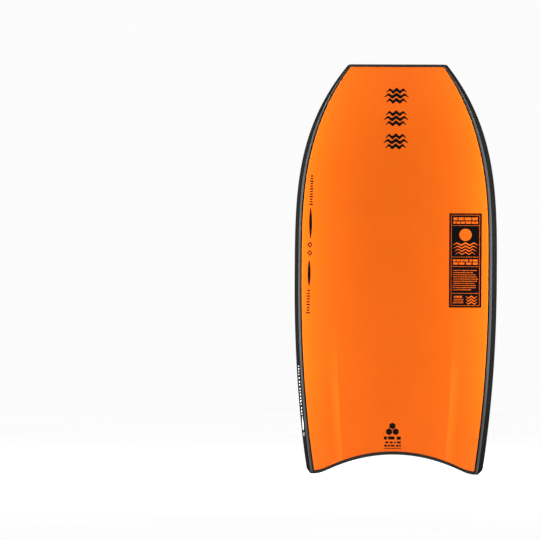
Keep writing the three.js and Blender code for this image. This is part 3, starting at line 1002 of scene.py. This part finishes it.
def side_line():
    """Ruler ticks, tapered dashes and diamonds in a line beside the rail at +X."""
    ink = Print(on_slick)
    for bottom, top in SIDE_TICKS:
        ticks = int((top - bottom) / TICK_SPACING)
        for k in range(ticks + 1):
            z = bottom + k * (top - bottom) / ticks
            width = 9.5 if k % 3 == 0 else 6.5
            ink.bar(side_line_x(z), z, width, 3.6)
    for bottom, top in SIDE_DASHES:
        middle = (bottom + top) / 2
        ink.blob(side_line_x(middle), middle, (top - bottom) / 2,
                 lambda share: 0.3 + 3.4 * (1 - share**2) ** 0.8)
    for z in SIDE_DIAMONDS:
        x = side_line_x(z)
        for ends in (((-7, 0), (0, 8)), ((0, 8), (7, 0)), ((7, 0), (0, -8)), ((0, -8), (-7, 0))):
            (x0, z0), (x1, z1) = ends
            ink.patch([(x + x0, z + z0), (x + x1, z + z1), (x + x1 * 0.5, z + z1 * 0.5),
                       (x + x0 * 0.5, z + z0 * 0.5)])
    ink.make("side_marks", BLACK_INK)


def label():
    """A black label with a thin frame, a disc over waves, and rows of plain dashes."""
    ground = Print(on_slick)
    x_mid, z_mid = (LABEL_LEFT + LABEL_RIGHT) / 2, (LABEL_BOTTOM + LABEL_TOP) / 2
    width, height = LABEL_RIGHT - LABEL_LEFT, LABEL_TOP - LABEL_BOTTOM
    ground.bar(x_mid, z_mid, width, height)
    ground.make("label_ground", BLACK_INK)

    ink = Print(on_slick)
    rise = 2 * PRINT_RISE
    left, right = LABEL_LEFT + 5.5, LABEL_RIGHT - 5.5
    line = 0.9
    for drop in LABEL_RULES:
        ink.bar(x_mid, LABEL_TOP - drop, right - left, line, rise)
    for x in (left, right):
        for high, low in zip(LABEL_RULES, LABEL_RULES[1:]):
            middle = LABEL_TOP - (high + low) / 2
            ink.bar(x, middle, line, low - high - 2.4, rise)
    inner_left, inner_right = left + 4.5, right - 4.5
    ink.words(inner_left + 1, inner_right - 1, LABEL_TOP - 14.5, 7.6, 3, rise)
    ink.words(inner_left, inner_right, LABEL_TOP - 24.3, 5.6, 5, rise)
    disc = 16
    ink.blob(x_mid, LABEL_TOP - 56, disc, lambda share: disc * np.sqrt(1 - share**2), rise)
    for k in range(4):
        ink.wave(x_mid, LABEL_TOP - 80 - 8 * k, 33 - 2.2 * k, 2.4, 3, 4.2 - 0.5 * k, rise)
    ink.words(inner_left, inner_right, LABEL_TOP - 122.5, 5.4, 8, rise)
    ink.words(inner_left, inner_right, LABEL_TOP - 130.6, 5.8, 13, rise)
    for k, end in enumerate(LABEL_TEXT_ENDS):
        ink.words(inner_left + end, inner_right, LABEL_TOP - 148.5 - 5.6 * k, 1.9, 20 + k, rise)
    ink.words(inner_right - 24, inner_right, LABEL_TOP - 217, 5, 41, rise)
    for k in range(3):
        ink.words(inner_right - 27, inner_right, LABEL_TOP - 223.5 - 4.6 * k, 2, 42 + k, rise)
    for k in range(3):
        ink.wave(inner_left + 16, LABEL_TOP - 218 - 7.5 * k, 15, 2.2, 2, 3.4, rise)
    ink.make("label_lines", ORANGE_INK)


def tail_mark():
    """Three honeycomb cells over rows of plain dashes."""
    ink = Print(on_slick)
    radius = 9
    across = radius * math.cos(math.pi / 6)

    def hexagon(share):
        return np.minimum(across, (1 - np.abs(share)) * radius * math.sqrt(3))

    for x, z in ((-8.7, 112.4), (8.7, 112.4), (0, 127.4)):
        ink.blob(TAIL_MARK_X + x, z, radius, hexagon, steps=8)
    for row, (z, height) in enumerate(((96, 8), (84.5, 4.6), (76, 4.6), (69, 2.6))):
        ink.words(TAIL_MARK_X - 22, TAIL_MARK_X + 22, z, height, 60 + row)
    ink.make("tail_honeycomb", BLACK_INK)


def deck_marks():
    """Outlined pressed waves on the deck, lighter grey as a painted sheen, and two small waves on
    the bevel at its tail.
    """
    ink = Print(on_deck)
    for height in DECK_MARK_HEIGHTS:
        for row, half in enumerate((24, 29, 24)):
            for edge in (-2.8, 2.8):
                z = height + MARK_SPACING * (1 - row) + edge
                ink.wave(0, z, half, amplitude=2.6, periods=3, weight=1.3, taper=8)
    ink.make("deck_pressed_waves", PRESSED_SHEEN_FOAM)
    small = Print(on_tail)
    small.wave(0, 15.5, 21, amplitude=1.6, periods=3, weight=2.6)
    small.wave(0, 10.5, 16, amplitude=1.4, periods=3, weight=2.2)
    small.make("tail_waves", BLACK_INK)


def rail_marks():
    """White dashes and slanted bars along the outer facet of the rail at +X."""
    ink = Print(on_right_rail)
    random = np.random.RandomState(7)
    z = RAIL_DASHES_TOP
    while z > RAIL_DASHES_BOTTOM:
        length = random.uniform(2.6, 5)
        ink.bar(RAIL_MARKS_ACROSS, z - length / 2, 3.6, length, slant=-1.2)
        z -= length + random.choice([3.8, 3.8, 6.5])
    for middle, length, width in RAIL_BARS:
        ink.bar(RAIL_MARKS_ACROSS, middle, width, length, slant=-2.5)
    ink.make("rail_dashes", WHITE_INK)


# ---------------------------------------------------------------- stage

VIEW_WIDTH = 1.40616          # metres across the frame, at the board
SENSOR_WIDTH = 36
CAMERA_DISTANCE = 19.6
CAMERA_TURN = math.radians(4.7)             # about the board's length, towards its -X side
CAMERA_ROLL = math.radians(-0.33)
CAMERA_X = 0.3278
CAMERA_Z = 0.5290

ROOM_SEEN = 0.97              # the white room's strength to the camera
ROOM_LIGHT = 0.5              # as a light on the board
ROOM_REFLECTED = 0.2          # in reflections


def camera():
    data = bpy.data.cameras.new("camera")
    data.sensor_width = SENSOR_WIDTH
    data.lens = SENSOR_WIDTH * CAMERA_DISTANCE / VIEW_WIDTH
    data.clip_end = 200
    piece = bpy.data.objects.new("camera", data)
    spot = Vector((CAMERA_X, CAMERA_DISTANCE, CAMERA_Z))
    spot.rotate(Euler((0, 0, CAMERA_TURN)))
    piece.location = spot
    piece.rotation_euler = Euler((math.pi / 2, CAMERA_ROLL, math.pi + CAMERA_TURN))
    bpy.context.scene.collection.objects.link(piece)
    bpy.context.scene.camera = piece


def floor(height):
    mesh = bpy.data.meshes.new("floor")
    reach = 60
    corners = [(x * reach, y * reach, height) for x, y in ((-1, -1), (1, -1), (1, 1), (-1, 1))]
    mesh.from_pydata(corners, [], [(0, 1, 2, 3)])
    paint = Shader("floor")
    tone = paint.noise(scale=1.5, detail=2, roughness=0.5)
    paint.feed("Base Color", paint.ramp(tone, [(0.3, grey(0.93)), (0.7, grey(0.95))]))
    paint.surface.inputs["Roughness"].default_value = 1
    paint.surface.inputs["Specular IOR Level"].default_value = 0
    mesh.materials.append(paint.material)
    piece = bpy.data.objects.new("floor", mesh)
    bpy.context.scene.collection.objects.link(piece)
    piece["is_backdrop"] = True


def area_light(name, place_at, aim, *, width, height, power):
    data = bpy.data.lights.new(name, "AREA")
    data.shape = "RECTANGLE"
    data.size = width
    data.size_y = height
    data.energy = power
    piece = bpy.data.objects.new(name, data)
    piece.location = place_at
    direction = Vector(aim) - Vector(place_at)
    piece.rotation_euler = direction.to_track_quat("-Z", "Y").to_euler()
    piece.visible_camera = False
    bpy.context.scene.collection.objects.link(piece)
    return piece


def room_light(nodes, strength):
    """White light from all round."""
    node = nodes.new("ShaderNodeBackground")
    node.inputs["Color"].default_value = (1, 1, 1, 1)
    node.inputs["Strength"].default_value = strength
    return node.outputs["Background"]


def lighting():
    """A white room that is dimmer as a light and dimmer still in reflections, an overhead light
    for the floor, and soft strips and panels beside and above the board."""
    world = bpy.data.worlds.new("world")
    bpy.context.scene.world = world
    world.use_nodes = True
    nodes, links = world.node_tree.nodes, world.node_tree.links
    seen = nodes.new("ShaderNodeLightPath")
    shown = nodes.new("ShaderNodeMixShader")
    links.new(seen.outputs["Is Camera Ray"], shown.inputs["Fac"])
    links.new(room_light(nodes, ROOM_LIGHT), shown.inputs[1])
    links.new(room_light(nodes, ROOM_SEEN), shown.inputs[2])
    choice = nodes.new("ShaderNodeMixShader")
    links.new(seen.outputs["Is Glossy Ray"], choice.inputs["Fac"])
    links.new(shown.outputs["Shader"], choice.inputs[1])
    links.new(room_light(nodes, ROOM_REFLECTED), choice.inputs[2])
    links.new(choice.outputs["Shader"], nodes["World Output"].inputs["Surface"])
    sun = bpy.data.lights.new("overhead", "SUN")
    sun.energy = 1.66
    sun.angle = math.radians(40)
    bpy.context.scene.collection.objects.link(bpy.data.objects.new("overhead", sun))
    for side in (-1, 1):
        strip = area_light(f"slick_strip_{side}", (side * 0.36, 0.08, 0.66), (side * 0.2, 0, 0.65),
                           width=0.05, height=1.2, power=4.8)
        strip.visible_glossy = False
        rail = (side * 0.26, 0, 0.65)
        area_light(f"deck_strip_{side}", (side * 0.8, -1.0, 0.75), rail,
                   width=0.2, height=1.3, power=7)
        area_light(f"side_panel_{side}", (side * 1.3, -0.32, 0.75), rail,
                   width=0.25, height=1.2, power=4.5)
    for front in (1, -1):
        area_light(f"top_{front}", (0, front * 1.6, 2.3), (0, 0, 0.8),
                   width=1.6, height=0.8, power=8)


bpy.context.scene.view_settings.view_transform = "Standard"
camera()
lighting()
dress_hidden_nodes()
slick_skin()
deck_skin()
rails()
tail_strip()
nose_strip()
nose_marks()
side_line()
label()
tail_mark()
deck_marks()
rail_marks()
floor(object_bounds()[0].z)
